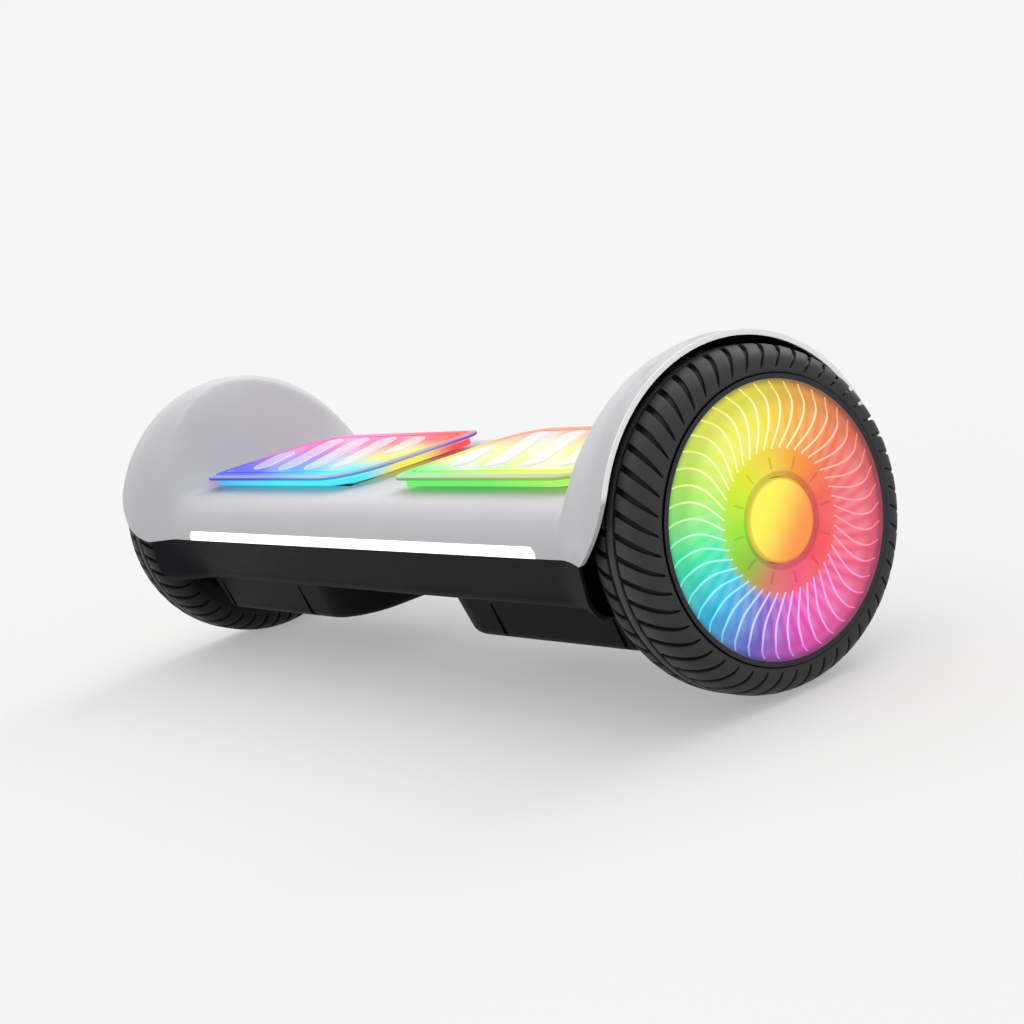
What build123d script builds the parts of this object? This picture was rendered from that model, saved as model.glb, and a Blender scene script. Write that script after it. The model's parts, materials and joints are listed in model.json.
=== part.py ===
from build123d import *
from functools import lru_cache
import math
import os

# Self balancing hoverboard, one rigid body with two hub motor wheels and two rocking foot decks.
# X runs along the wheel axle, the front with the light bar faces -Y, the floor is z = 0.
# The origin lies on the floor, midway between the wheels.

# ---- wheels ----
WHEEL_R = 84.0            # 6.5 inch tyre
AXLE_Z = WHEEL_R
TYRE_X0, TYRE_X1 = 243.0, 287.4
TYRE_SEAT_R = 58.0
RING_R = 69.2             # outer edge of the ring round the lens
FACE_X = 287.6            # plane of that ring
CAP_R = 20.4
GROOVES_X = (266.0, 270.8)
SIPES = 50                # tread blocks round each shoulder
RIBS = 45                 # curved light ribs on the face of the wheel
LEDS = 18
STATOR_R = 50.0
MAGNET_GAP = 1.0
STATOR_SLOTS = 18

# ---- shells ----
WALL = 2.6
LINER_T = 1.2
SEAM_Z = 87.0             # joint between the upper and the lower shell
BODY_R = 78.0             # half depth of the body, about the axle
FENDER_R = 91.0
TOP_FLARE = (210.0, 252.0)    # where the body's top starts to rise into the fender, and where it ends
SIDE_FLARE = (214.0, 260.0)   # the same for its front and rear
LOWER_FLARE = (198.0, 256.0)  # the same for the lower shell's edge
LIP_X = 269.0             # outer edge of the fender
TOP_Z = 111.6             # flat top of the body
TOP_CORNER_R = 20.0
LOWER_END_X = 240.0       # wheel-side end of the lower shell
FLOOR_Z = 56.0            # underside of the lower shell
FLOOR_HALF_Y = 59.0
KNEE_Y, KNEE_Z = 67.5, 63.0   # where the lower shell's walls turn into its floor
KNEE_GROW_Y, KNEE_GROW_Z = 22.0, 9.0   # how far that corner moves out and up at the wheel
FLOOR_GROW_Y = 14.0
FLOOR_OPEN_X0, FLOOR_OPEN_X1 = 86.0, 212.0   # openings in the floor above the pods

# ---- light bar ----
BAR_HALF = 194.6
BAR_TOP_Z = 92.9

# ---- pods under the body ----
POD_X0, POD_X1 = 51.0, 229.0
POD_HALF_TOP, POD_HALF_BOTTOM = 57.0, 50.0
POD_BASE_Z = 30.0
POD_INNER_R, POD_OUTER_R = 34.0, 7.0   # upright corners
POD_EDGE_R = 6.5
POD_SLOTS_X = (107.6, 213.9)

# ---- foot decks ----
DECK_X0, DECK_X1 = 23.0, 213.5
DECK_MID = (DECK_X0 + DECK_X1) / 2
DECK_DEEP = 103.0
DECK_TOP_Z = 121.1
DECK_WIDE_R, DECK_TIGHT_R = 32.0, 16.0    # corners, each kind across from its like
PLATE_T = 2.2
GRIP_WIDE, GRIP_PITCH = 14.0, 34.0
GUIDE_X0, GUIDE_X1 = 29.0, 205.5
GUIDE_DEEP = 92.0
GUIDE_WIDE_R, GUIDE_TIGHT_R = 26.0, 9.0
GUIDE_BASE_Z = 114.0
BASE_X0, BASE_X1 = 46.0, 190.5        # the deck's carrier
ROCK_Z = 97.0             # height of the pivot pin
STOP_GAP = 0.5            # travel of the deck down to its rubber buffers
PIN_R = 4.0

# ---- chassis ----
TUBE_HALF_Y = 25.0
TUBE_Z0, TUBE_Z1 = 59.2, 81.0
TUBE_END = 186.0
SADDLE_END = 222.0
AXLE_R = 8.0
LEAD_R = 2.4

ARC_MIDDLE = 1 - math.sqrt(0.5)   # how far a quarter arc's middle lies from its corner, in radii
SIDES = {"left": -1, "right": 1}


def at_side(shape, side):
    """The part as drawn is the right one. The left one is its mirror image."""
    return shape if side > 0 else mirror(shape, about=Plane.YZ)


def half_turn(shape, side):
    """For the decks, whose left part is the right one turned half way round."""
    return shape if side > 0 else Rot(0, 0, 180) * shape


def block(x0, x1, y0, y1, z0, z1):
    return Pos((x0 + x1) / 2, (y0 + y1) / 2, (z0 + z1) / 2) * Box(x1 - x0, y1 - y0, z1 - z0)


def rod_x(x0, x1, radius, y=0.0, z=AXLE_Z):
    """A round bar parallel to the axle."""
    return Pos((x0 + x1) / 2, y, z) * Rot(0, 90, 0) * Cylinder(radius, x1 - x0)


def rod_z(x, y, z0, z1, radius):
    return Pos(x, y, (z0 + z1) / 2) * Cylinder(radius, z1 - z0)


def turned(points):
    """A solid turned about the axle from an outline of (x, radius) points."""
    outline = Plane.XZ * make_face(Polyline(*points, close=True))
    return Pos(0, 0, AXLE_Z) * revolve(outline, Axis.X)


def group(shapes):
    """Separate solids kept together as one node."""
    return Compound(children=[solid for shape in shapes for solid in shape.solids()])


def ring_x(x0, x1, inner, outer):
    return turned([(x0, inner), (x1, inner), (x1, outer), (x0, outer)])


def swell(x, flare):
    """0 on the body, 1 on the fender, with a soft start and end."""
    t = min(max((x - flare[0]) / (flare[1] - flare[0]), 0.0), 1.0)
    return t * t * (3 - 2 * t)


def swell_slope(x, flare):
    return swell(x + 0.5, flare) - swell(x - 0.5, flare)


def body_radius(x, inset=0.0):
    rise = FENDER_R - BODY_R
    return BODY_R + rise * swell(x, SIDE_FLARE) - inset * math.hypot(1, rise * swell_slope(x, SIDE_FLARE))


def top_height(x, inset=0.0):
    rise = AXLE_Z + FENDER_R - TOP_Z
    return TOP_Z + rise * swell(x, TOP_FLARE) - inset * math.hypot(1, rise * swell_slope(x, TOP_FLARE))


def outline_radius(angle, x, inset):
    """Distance from the axle to the shell, for an angle from the horizontal (0 to 90 degrees)."""
    side = body_radius(x, inset)
    height = top_height(x, inset) - AXLE_Z
    corner = TOP_CORNER_R - inset
    if height >= side - 0.01:
        return side
    reach = side - corner
    drop = height - corner
    across = math.sqrt(max(reach ** 2 - drop ** 2, 0.0))
    corner_start = math.atan2(drop, across)
    corner_end = math.atan2(height, across)
    if angle <= corner_start:
        return side
    if angle >= corner_end:
        return height / math.sin(angle)
    off = angle - corner_start
    return reach * math.cos(off) + math.sqrt(corner ** 2 - (reach * math.sin(off)) ** 2)


def shell_section(x, inset):
    """One cross section of the upper shell's form, closed along the height of the axle."""
    steps = 24
    points = []
    for i in range(steps + 1):
        turn = math.pi * i / steps
        radius = outline_radius(min(turn, math.pi - turn), x, inset)
        points.append((x, -radius * math.cos(turn), AXLE_Z + radius * math.sin(turn)))
    arch = Spline(*points)
    return Wire([arch.edge(), Line(points[-1], points[0]).edge()])


def flare_stations(flare, end_x):
    """Section planes through the swelling part, with one ahead of it so that it starts straight."""
    first = flare[0] - 14
    pitch = 3.0
    return [first + pitch * i for i in range(int((end_x - 4 - first) / pitch) + 1)]


@lru_cache
def shell_form(inset, end_x):
    """The solid that the upper shell's surface encloses, on the right half."""
    stations = flare_stations(TOP_FLARE, SIDE_FLARE[1] + 6)
    flare = Solid.make_loft([shell_section(x, inset) for x in stations])
    middle = extrude(Face(shell_section(0.0, inset)), stations[0], dir=(1, 0, 0))
    edge = extrude(Face(shell_section(stations[-1], inset)), end_x - stations[-1], dir=(1, 0, 0))
    return middle + flare + edge


def both_sides(half):
    return half + mirror(half, about=Plane.YZ)


def lip_cutter(back=0.0):
    """Takes away what lies outside the fender's edge, which sweeps in towards the tyre below."""
    upper = (LIP_X - back, 121.0)
    middle = (LIP_X - 8.0 - back, 101.0)
    lower = (LOWER_END_X + 1.5 - back, SEAM_Z)
    sweep = ThreePointArc(upper, middle, lower)
    low_z, far_x = SEAM_Z - 30, LIP_X + 30
    rest = Polyline(lower, (lower[0], low_z), (far_x, low_z), (far_x, upper[1]), upper)
    return extrude(Plane.XZ * make_face([sweep.edge(), *rest.edges()]), 120, both=True)


def deck_window():
    """Opening in the top shell that the deck's base passes through."""
    return block(BASE_X0 - 4, BASE_X1 + 4, -38, 38, TOP_Z - 8, TOP_Z + 4)


def bar_outline(y0, y1, shrink=0.0):
    """The light bar seen from the front: a long strip with its upper corners cut off."""
    half = BAR_HALF - shrink
    top = BAR_TOP_Z - shrink
    cut = 3.0
    points = [(-half, SEAM_Z), (half, SEAM_Z), (half, top - cut), (half - cut, top),
              (cut - half, top), (-half, top - cut)]
    face = Plane.XZ * make_face(Polyline(*points, close=True))
    return Pos(0, y1, 0) * extrude(face, y1 - y0)


SCREWS = [(x, y) for x in (-62, -21, 21, 62) for y in (-46, 46)]


def top_shell():
    half = shell_form(0.0, LIP_X) - shell_form(WALL, LIP_X + 1)
    half -= block(-1, 300, -120, 120, 0, SEAM_Z)
    half -= lip_cutter()
    half -= deck_window()
    shell = both_sides(half)
    shell -= bar_outline(-BODY_R - 5, -BODY_R + 6)
    for x, y in SCREWS:
        post = rod_z(x, y, SEAM_Z + 0.2, TOP_Z - 1, 4.6)
        shell += post - rod_z(x, y, SEAM_Z, SEAM_Z + 14, 1.6)
    return shell


# ---- lower shell ----

def lower_section(x, inset):
    """One cross section of the lower shell: walls that lean in to a rounded edge and a flat floor."""
    grow = swell(x, LOWER_FLARE)
    seam_y = math.sqrt(body_radius(x) ** 2 - (SEAM_Z - AXLE_Z) ** 2) - inset
    floor_z = FLOOR_Z + inset
    knee_y = KNEE_Y + KNEE_GROW_Y * grow - inset
    knee_z = KNEE_Z + KNEE_GROW_Z * grow + inset
    floor_y = FLOOR_HALF_Y + FLOOR_GROW_Y * grow - inset * 0.5
    mid_y = knee_y - ARC_MIDDLE * (knee_y - floor_y)
    mid_z = floor_z + ARC_MIDDLE * (knee_z - floor_z)
    edges = []
    for s in (-1, 1):
        edges.append(Line((x, s * seam_y, SEAM_Z), (x, s * knee_y, knee_z)).edge())
        arc = ThreePointArc((x, s * knee_y, knee_z), (x, s * mid_y, mid_z), (x, s * floor_y, floor_z))
        edges.append(arc.edge())
    edges.append(Line((x, -floor_y, floor_z), (x, floor_y, floor_z)).edge())
    edges.append(Line((x, -seam_y, SEAM_Z), (x, seam_y, SEAM_Z)).edge())
    return Wire(edges)


def lower_form(inset):
    stations = flare_stations(LOWER_FLARE, LOWER_END_X + 9)
    flare = Solid.make_loft([lower_section(x, inset) for x in stations])
    middle = extrude(Face(lower_section(0.0, inset)), stations[0], dir=(1, 0, 0))
    end = LOWER_END_X - inset
    low = FLOOR_Z + inset
    corner = 5.0 - inset
    start, finish = (end - corner, low), (end, low + corner)
    arc = ThreePointArc(start, (end - ARC_MIDDLE * corner, low + ARC_MIDDLE * corner), finish)
    corners = [finish, (end, SEAM_Z + 1), (-1, SEAM_Z + 1), (-1, low - 1), (end - corner, low - 1), start]
    rest = Polyline(*corners)
    profile = Plane.XZ * make_face([arc.edge(), *rest.edges()])
    return (middle + flare) & extrude(profile, 120, both=True)


def lower_shell_half():
    return lower_form(0.0) - lower_form(WALL)


def bottom_shell():
    shell = both_sides(lower_shell_half())
    for s in (-1, 1):
        shell -= rod_x(s * LOWER_END_X - 12, s * LOWER_END_X + 12, 23)
        inner, outer = sorted((s * FLOOR_OPEN_X0, s * FLOOR_OPEN_X1))
        shell -= block(inner, outer, -36, 36, FLOOR_Z - 1, FLOOR_Z + WALL + 1)
        for x, y in POD_SCREWS:
            shell -= rod_z(s * x, y, FLOOR_Z - 1, FLOOR_Z + WALL + 1, 1.5)
    for x, y in SCREWS:
        post = rod_z(x, y, FLOOR_Z + 1, SEAM_Z - 0.2, 4.6)
        shell += post
        shell -= rod_z(x, y, FLOOR_Z - 1, SEAM_Z, 1.9)
        shell -= rod_z(x, y, FLOOR_Z - 1, FLOOR_Z + 3.2, 3.6)
    shell -= REAR_PLACE * Pos(PORT_X, 0, 0) * Cylinder(PORT_R + 0.2, 20)
    shell -= REAR_PLACE * Pos(BUTTON_X, 0, 0) * Cylinder(BUTTON_R + 0.35, 20)
    for s in (-1, 1):
        shell += REAR_PLACE * cover_knuckle(s)
    return shell


# ---- rear face: charge port and power button ----
SEAM_Y = math.sqrt(BODY_R ** 2 - (SEAM_Z - AXLE_Z) ** 2)
REAR_LEAN = math.degrees(math.atan2(SEAM_Y - KNEE_Y, SEAM_Z - KNEE_Z))
REAR_Z = 72.5
REAR_Y = KNEE_Y + (SEAM_Y - KNEE_Y) * (REAR_Z - KNEE_Z) / (SEAM_Z - KNEE_Z)
REAR_PLACE = Pos(0, REAR_Y, REAR_Z) * Rot(-90 - REAR_LEAN, 0, 0)   # local +Z points out of the wall
PORT_X = -38.0
PORT_R = 8.0
BUTTON_X = 38.0
BUTTON_R = 7.0
BUTTON_TRAVEL = 1.5
HINGE_V = -12.0           # local Y of the cover's hinge, above the port
HINGE_OUT = 2.3
HINGE_R = 1.0


def cover_knuckle(s):
    ear = Pos(PORT_X + s * 6.2, HINGE_V, HINGE_OUT / 2 - 0.4) * Box(2.0, 3.6, HINGE_OUT + 3.2)
    hole = Pos(PORT_X + s * 6.2, HINGE_V, HINGE_OUT) * Rot(0, 90, 0) * Cylinder(HINGE_R + 0.06, 4)
    return ear - hole


def charge_port():
    body = Pos(PORT_X, 0, -7) * Cylinder(PORT_R, 15)
    flange = Pos(PORT_X, 0, 1.0) * Cylinder(PORT_R + 1.6, 1.2)
    socket = Pos(PORT_X, 0, -1.5) * Cylinder(PORT_R - 2.2, 6.4)
    port = body + flange - socket
    for k in range(3):
        pin = Pos(PORT_X, 0, -2.5) * Rot(0, 0, 120 * k) * Pos(2.9, 0, 0) * Cylinder(0.8, 5)
        port += pin
    return REAR_PLACE * port


def charge_port_cover():
    cap = Pos(PORT_X, 0, 2.9) * Cylinder(PORT_R + 2.4, 2.0)
    cap = fillet(cap.edges().group_by(Axis.Z)[-1], 0.8)
    neck = Pos(PORT_X, HINGE_V + 3.2, 2.9) * Box(8, 6.4, 1.6)
    barrel = Pos(PORT_X, HINGE_V, HINGE_OUT) * Rot(0, 90, 0) * Cylinder(HINGE_R + 0.6, 9.6)
    pin = Pos(PORT_X, HINGE_V, HINGE_OUT) * Rot(0, 90, 0) * Cylinder(HINGE_R, 14)
    pull = Pos(PORT_X, PORT_R + 3.4, 2.6) * Box(7, 4, 1.4)
    return REAR_PLACE * (cap + neck + barrel + pin + pull)


def power_button():
    head = Pos(BUTTON_X, 0, -0.6) * Cylinder(BUTTON_R, 6)
    head = fillet(head.edges().group_by(Axis.Z)[-1], 0.8)
    mark = Pos(BUTTON_X, 0, 2.4) * (Cylinder(3.4, 1.0) - Cylinder(2.7, 2.0))
    collar = Pos(BUTTON_X, 0, -4.2) * Cylinder(BUTTON_R + 1.6, 1.6)
    return REAR_PLACE * (head - mark + collar)


# ---- pods ----

def pod_form(inset):
    """Tapered box whose inner end is widely rounded."""
    x0, x1 = POD_X0 + inset, POD_X1 - inset
    base_z = POD_BASE_Z + inset
    top_z = FLOOR_Z + (inset and 1.0)
    lean = (POD_HALF_TOP - POD_HALF_BOTTOM) / (FLOOR_Z - POD_BASE_Z)
    top_y, low_y = POD_HALF_TOP - inset, POD_HALF_BOTTOM - inset + lean * inset
    corners = [(0, -1), (1, -1), (1, 1), (0, 1)]
    top = Wire.make_polygon([((x0, x1)[i], j * top_y, top_z) for i, j in corners])
    low = Wire.make_polygon([((x0 + 2, x1 - 6)[i], j * low_y, base_z) for i, j in corners])
    form = Solid.make_loft([top, low], ruled=True)
    mid_z = (top_z + base_z) / 2
    uprights = [e for e in form.edges() if abs(e.center().Z - mid_z) < 2 and e.center().X < x0 + 9]
    form = fillet(uprights, POD_INNER_R - inset)
    uprights = [e for e in form.edges() if abs(e.center().Z - mid_z) < 2 and e.center().X > x1 - 9]
    form = fillet([e for e in uprights if abs(e.center().Y) > POD_HALF_BOTTOM / 2], POD_OUTER_R - inset)
    return fillet(form.edges().group_by(Axis.Z)[0], POD_EDGE_R - inset)


def pod_groove(x, s):
    """A slot down the wall of a pod, narrow above and wide below."""
    top_z, low_z = FLOOR_Z - 3, POD_BASE_Z - 1
    points = [(x - 0.9, top_z), (x + 0.9, top_z), (x + 2.6, low_z), (x - 2.6, low_z)]
    face = Plane.XZ * make_face(Polyline(*points, close=True))
    lean = math.degrees(math.atan2(POD_HALF_TOP - POD_HALF_BOTTOM, FLOOR_Z - POD_BASE_Z))
    slab = extrude(face, 1.3, both=True)
    turn = Rot(-s * lean, 0, 0)
    foot = POD_HALF_BOTTOM
    return Pos(0, s * foot, POD_BASE_Z) * turn * Pos(0, 0, -POD_BASE_Z) * slab


POD_SCREWS = [(x, y) for x in (91, 151, 217) for y in (-41.5, 41.5)]


def pod_cover(side):
    cover = pod_form(0.0) - pod_form(2.6)
    for x in POD_SLOTS_X:
        for s in (-1, 1):
            cover -= pod_groove(x, s)
    for x, y in POD_SCREWS:
        cover += rod_z(x, y, POD_BASE_Z + 1, FLOOR_Z - 0.2, 4.2)
        cover -= rod_z(x, y, POD_BASE_Z - 1, FLOOR_Z + 1, 1.7)
        cover -= rod_z(x, y, POD_BASE_Z - 1, POD_BASE_Z + 3.2, 3.4)
    return at_side(cover, side)


# ---- arch liners ----

def arch_liner(side):
    """Black lining that follows the inside of the fender, with the wall behind the wheel."""
    gap = WALL + 0.3
    skin = shell_form(gap, LIP_X + 1)
    hollow = shell_form(gap + LINER_T, LIP_X + 1)
    wall_x0, wall_x1 = LOWER_END_X + 0.1, LOWER_END_X + 1.5
    liner = (skin - hollow) & block(wall_x0 - 2.2, LIP_X - 1.5, -100, 100, SEAM_Z + 0.2, 200)
    liner += skin & block(wall_x0, wall_x1, -100, 100, SEAM_Z - 0.1, 200)
    lower_wall = extrude(Face(lower_section(LOWER_END_X, 1.6)), wall_x1 - wall_x0, dir=(1, 0, 0))
    liner += Pos(wall_x0 - LOWER_END_X, 0, 0) * lower_wall
    liner -= rod_x(wall_x0 - 5, wall_x1 + 5, 24)
    liner -= lip_cutter(0.8) & block(wall_x1, LIP_X + 5, -120, 120, 0, 200)
    return at_side(liner, side)


# ---- front light ----

def front_light_lens():
    lens = bar_outline(-BODY_R - 3, -BODY_R + 4.2, shrink=0.15)
    lens -= block(-BAR_HALF, BAR_HALF, -BODY_R, -BODY_R + 6, SEAM_Z - 1, SEAM_Z + 0.15)
    return lens & rod_x(-BAR_HALF, BAR_HALF, BODY_R + 0.25)


def front_light_board():
    board = block(-188, 188, -BODY_R + 5.4, -BODY_R + 6.8, SEAM_Z + 0.2, SEAM_Z + 6.5)
    for i in range(24):
        x = -180 + 360 * i / 23
        board += block(x - 2.5, x + 2.5, -BODY_R + 4.4, -BODY_R + 5.5, SEAM_Z + 0.6, SEAM_Z + 4.6)
    return board


# ---- chassis ----
EAR_X = (75.5, 164.7)
LUG_X = (83.0, 157.2)
STOP_POSTS = [(x, y) for x in (108, 132) for y in (-19, 19)]
CLAMP_BOLTS = [(x, y) for x in (197, 214) for y in (-17, 17)]


def chassis_half():
    wall = 2.6
    inner_y = TUBE_HALF_Y - wall
    tube = block(0, TUBE_END, -TUBE_HALF_Y, TUBE_HALF_Y, TUBE_Z0, TUBE_Z1)
    tube -= block(-1, TUBE_END - 8, -inner_y, inner_y, TUBE_Z0 + wall, TUBE_Z1 - wall)
    saddle = block(TUBE_END, SADDLE_END, -TUBE_HALF_Y, TUBE_HALF_Y, TUBE_Z0 + 3, AXLE_Z - 0.6)
    saddle -= rod_x(TUBE_END - 1, SADDLE_END + 1, AXLE_R)
    frame = tube + saddle
    for x, y in CLAMP_BOLTS:
        frame -= rod_z(x, y, TUBE_Z0, AXLE_Z, 2.6)
    for x in EAR_X:
        ear = block(x - 2.5, x + 2.5, -11, 11, TUBE_Z1 - 1, ROCK_Z)
        ear += rod_x(x - 2.5, x + 2.5, 11, z=ROCK_Z)
        frame += ear
        frame -= rod_x(x - 3, x + 3, PIN_R, z=ROCK_Z)
    for x, y in STOP_POSTS:
        frame += block(x - 5, x + 5, y - 5, y + 5, TUBE_Z1 - 1, 102)
    return frame


def chassis_frame():
    return both_sides(chassis_half())


def axle_clamp(side):
    cap = block(TUBE_END + 3, SADDLE_END, -TUBE_HALF_Y, TUBE_HALF_Y, AXLE_Z + 0.6, AXLE_Z + 13)
    cap = fillet(cap.edges().filter_by(Axis.X).group_by(Axis.Z)[-1], 6)
    cap -= rod_x(TUBE_END, SADDLE_END + 1, AXLE_R)
    for x, y in CLAMP_BOLTS:
        cap -= rod_z(x, y, AXLE_Z, AXLE_Z + 20, 3.2)
    return at_side(cap, side)


def clamp_bolts():
    bolts = []
    for s in (-1, 1):
        for x, y in CLAMP_BOLTS:
            head_z = AXLE_Z + 13
            bolt = rod_z(s * x, y, TUBE_Z0 + 6, head_z, 2.55) + rod_z(s * x, y, head_z, head_z + 4, 4.5)
            bolt -= Pos(s * x, y, head_z + 3) * extrude(RegularPolygon(2.6, 6), 3)
            bolts.append(bolt)
    return group(bolts)


def axle(side):
    """Hollow motor axle: the motor leads run out through its bore."""
    steps = [(TUBE_END, 0), (TUBE_END, AXLE_R), (244, AXLE_R), (250.5, AXLE_R), (250.5, 10), (273.4, 10),
             (273.4, 6), (280, 6), (280, 0)]
    bar = turned(steps)
    bar -= rod_x(TUBE_END - 1, 256, LEAD_R + 0.5)
    bar -= rod_x(250.5, 256, LEAD_R + 0.5)
    return at_side(bar, side)


def deck_pins():
    return group([rod_x(*sorted((s * 70, s * 170)), PIN_R, z=ROCK_Z) for s in (-1, 1)])


def deck_stops():
    """Rubber buffers that end the decks' rocking."""
    stops = []
    for s in (-1, 1):
        for x, y in STOP_POSTS:
            stops.append(rod_z(s * x, y, 102, GUIDE_BASE_Z - 2.6 - STOP_GAP, 4.5))
    return group(stops)


# ---- hub motor and wheel ----

def stator(side):
    core = ring_x(252, 273, 10, STATOR_R)
    for k in range(STATOR_SLOTS):
        place = Pos(0, 0, AXLE_Z) * Rot(360 * k / STATOR_SLOTS, 0, 0)
        core -= place * block(250, 275, -3.0, 3.0, 29, 46.5)
        core -= place * block(250, 275, -1.0, 1.0, 40, STATOR_R + 2)
    for k in range(STATOR_SLOTS):
        place = Pos(0, 0, AXLE_Z) * Rot(360 * (k + 0.5) / STATOR_SLOTS, 0, 0)
        coil = block(249.6, 275.4, -3.6, 3.6, 31, 45)
        core += place * coil
    return at_side(core, side)


def magnet_ring(side):
    ring = ring_x(252, 273, STATOR_R + MAGNET_GAP, 53.6)
    for k in range(30):
        place = Pos(0, 0, AXLE_Z) * Rot(12 * k, 0, 0)
        ring -= place * block(251, 274, -0.4, 0.4, 50, 52.4)
    return at_side(ring, side)


def rim(side):
    """Cast drum with the bearing seat and the dish that holds the lights."""
    outline = [(248, 53.6), (276.4, 53.6), (276.4, 17), (274.0, 17), (274.0, 14), (280.0, 14)]
    outline += [(280.0, 66.8), (FACE_X, 66.8), (FACE_X, RING_R), (280.2, RING_R)]
    outline += [(278.0, 67), (278.0, TYRE_SEAT_R), (248, TYRE_SEAT_R)]
    drum = turned(outline)
    for k in range(3):
        place = Pos(0, 0, AXLE_Z) * Rot(120 * k, 0, 0)
        drum -= place * rod_x(275, 281, 2.2, y=0, z=30)
    return at_side(drum, side)


COVER_SCREW_R = 55.8
COVER_SCREW_PLACES = [Pos(0, 0, AXLE_Z) * Rot(60 * k, 0, 0) * Pos(0, 0, COVER_SCREW_R) for k in range(6)]
SCREW_SEAT_X = 244.6      # the heads sit in counterbores, flush with the cover


def inner_cover(side):
    edge_r = TYRE_SEAT_R - 0.4
    outline = [(243.0, 16), (249.4, 16), (249.4, 20), (246.6, 24), (246.6, 53.6), (248, 53.6)]
    outline += [(248, edge_r), (243.0, edge_r)]
    disc = turned(outline)
    for place in COVER_SCREW_PLACES:
        disc -= place * (rod_x(242, 250, 1.6, z=0) + rod_x(242, SCREW_SEAT_X, 3.1, z=0))
    return at_side(disc, side)


def cover_screws(side):
    screw = rod_x(SCREW_SEAT_X, 248, 1.55, z=0) + rod_x(242.4, SCREW_SEAT_X, 2.9, z=0)
    return group([at_side(place * screw, side) for place in COVER_SCREW_PLACES])


def bearings(side):
    inner = ring_x(243.4, 249.4, AXLE_R + 0.03, 16)
    outer = ring_x(274.0, 279.6, 6.03, 14)
    return group([at_side(inner, side), at_side(outer, side)])


def tyre_outline():
    """Tyre section: seat, inner flank, crown, outer flank and the shoulder against the rim."""
    shoulder = [(0.4, 74), (2.2, 78), (6.0, 81.3), (11.6, 83.3), (18.0, WHEEL_R)]
    inner = [(TYRE_X0 + dx, r) for dx, r in shoulder]
    outer = [(TYRE_X1 - dx, r) for dx, r in reversed(shoulder)]
    seat = [(278.0, 67), (278.0, TYRE_SEAT_R), (246.0, TYRE_SEAT_R), (TYRE_X0, 62)]
    return inner + outer + [(TYRE_X1 - 0.2, RING_R + 0.6), (280.2, RING_R)] + seat


def tyre(side):
    body = turned(tyre_outline())
    for x in GROOVES_X:
        body -= ring_x(x - 0.9, x + 0.9, WHEEL_R - 2.4, WHEEL_R + 1)
    cuts = []
    for k in range(SIPES):
        sipe = Pos(TYRE_X1 - 7, 0, WHEEL_R + 1) * Rot(0, 0, -24) * Box(20, 1.4, 8)
        cuts.append(Pos(0, 0, AXLE_Z) * Rot(360.0 * k / SIPES, 0, 0) * sipe)
    body -= cuts
    return at_side(body, side)


def light_board(side):
    board = ring_x(280.0, 281.4, 24, 66.0)
    for k in range(LEDS):
        place = Pos(0, 0, AXLE_Z) * Rot(360 * k / LEDS, 0, 0)
        board += place * block(281.3, 282.6, -2.5, 2.5, 60, 63.5)
    return at_side(board, side)


def rib_shape(start):
    """One curved rib of the light disc: it leans forwards near the hub and back near the edge."""
    low, bend, high = 34.5, 52.0, 65.0
    half = 0.42

    def point(radius, shift):
        span = low - bend if radius < bend else high - bend
        lean = 8.5 if radius < bend else 4.0
        turn = math.radians(start + lean * ((radius - bend) / span) ** 2) + shift / radius
        return (radius * math.cos(turn), radius * math.sin(turn))

    steps = [low + (high - low) * i / 6 for i in range(7)]
    forward = Spline(*[point(r, half) for r in steps])
    back = Spline(*[point(r, -half) for r in steps])
    ends = [Line(forward @ t, back @ t) for t in (0, 1)]
    return make_face([line.edge() for line in (forward, back, *ends)])


def light_disc(side):
    """Dished diffuser with raised ribs, seen through the lens."""
    outline = [(283.0, 24), (286.6, 24), (286.6, 33), (285.4, 35), (285.0, 60), (283.0, 66.2)]
    dish = turned(outline + [(281.6, 66.2), (281.6, 64.4), (283.0, 58)])
    pocket = block(281, 282.9, -3, 3, 59, 64.3)
    dish -= [Pos(0, 0, AXLE_Z) * Rot(360 * k / LEDS, 0, 0) * pocket for k in range(LEDS)]
    flat = Plane(origin=(284.2, 0, AXLE_Z), x_dir=(0, 1, 0), z_dir=(1, 0, 0))
    ribs = [extrude(flat * rib_shape(360 * k / RIBS), 1.8) for k in range(RIBS)]
    disc = dish + ribs
    return at_side(disc, side)


def lens(side):
    """Clear domed cover over the lights."""
    outer = [(287.0, 66.6), (288.2, 66.6), (289.0, 60), (289.6, 48), (289.9, 30), (289.9, 24)]
    inner = [(288.4, 23.8), (288.4, 30), (288.0, 48), (287.4, 60)]
    return at_side(turned(outer + inner), side)


def hub_cap(side):
    stem = [(281.6, 0), (281.6, 12), (284.5, CAP_R - 0.4), (288.0, CAP_R)]
    dome = [(288.9, CAP_R - 1.0), (289.7, 12), (290.0, 5), (290.0, 0)]
    return at_side(turned(stem + dome), side)


# ---- foot decks ----

def rounded_slab(x0, x1, deep, z0, z1, wide, tight):
    """A plate with two widely rounded corners and two tightly rounded ones, across from each other."""
    slab = block(x0, x1, -deep / 2, deep / 2, z0, z1)
    middle = (x0 + x1) / 2
    reach = (x1 - x0) * deep / 4 - 0.01
    for radius, sense in ((tight, 1), (wide, -1)):
        upright = slab.edges().filter_by(Axis.Z)
        corners = [e for e in upright if sense * (e.center().X - middle) * e.center().Y > reach]
        slab = fillet(corners, radius)
    return slab


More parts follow.
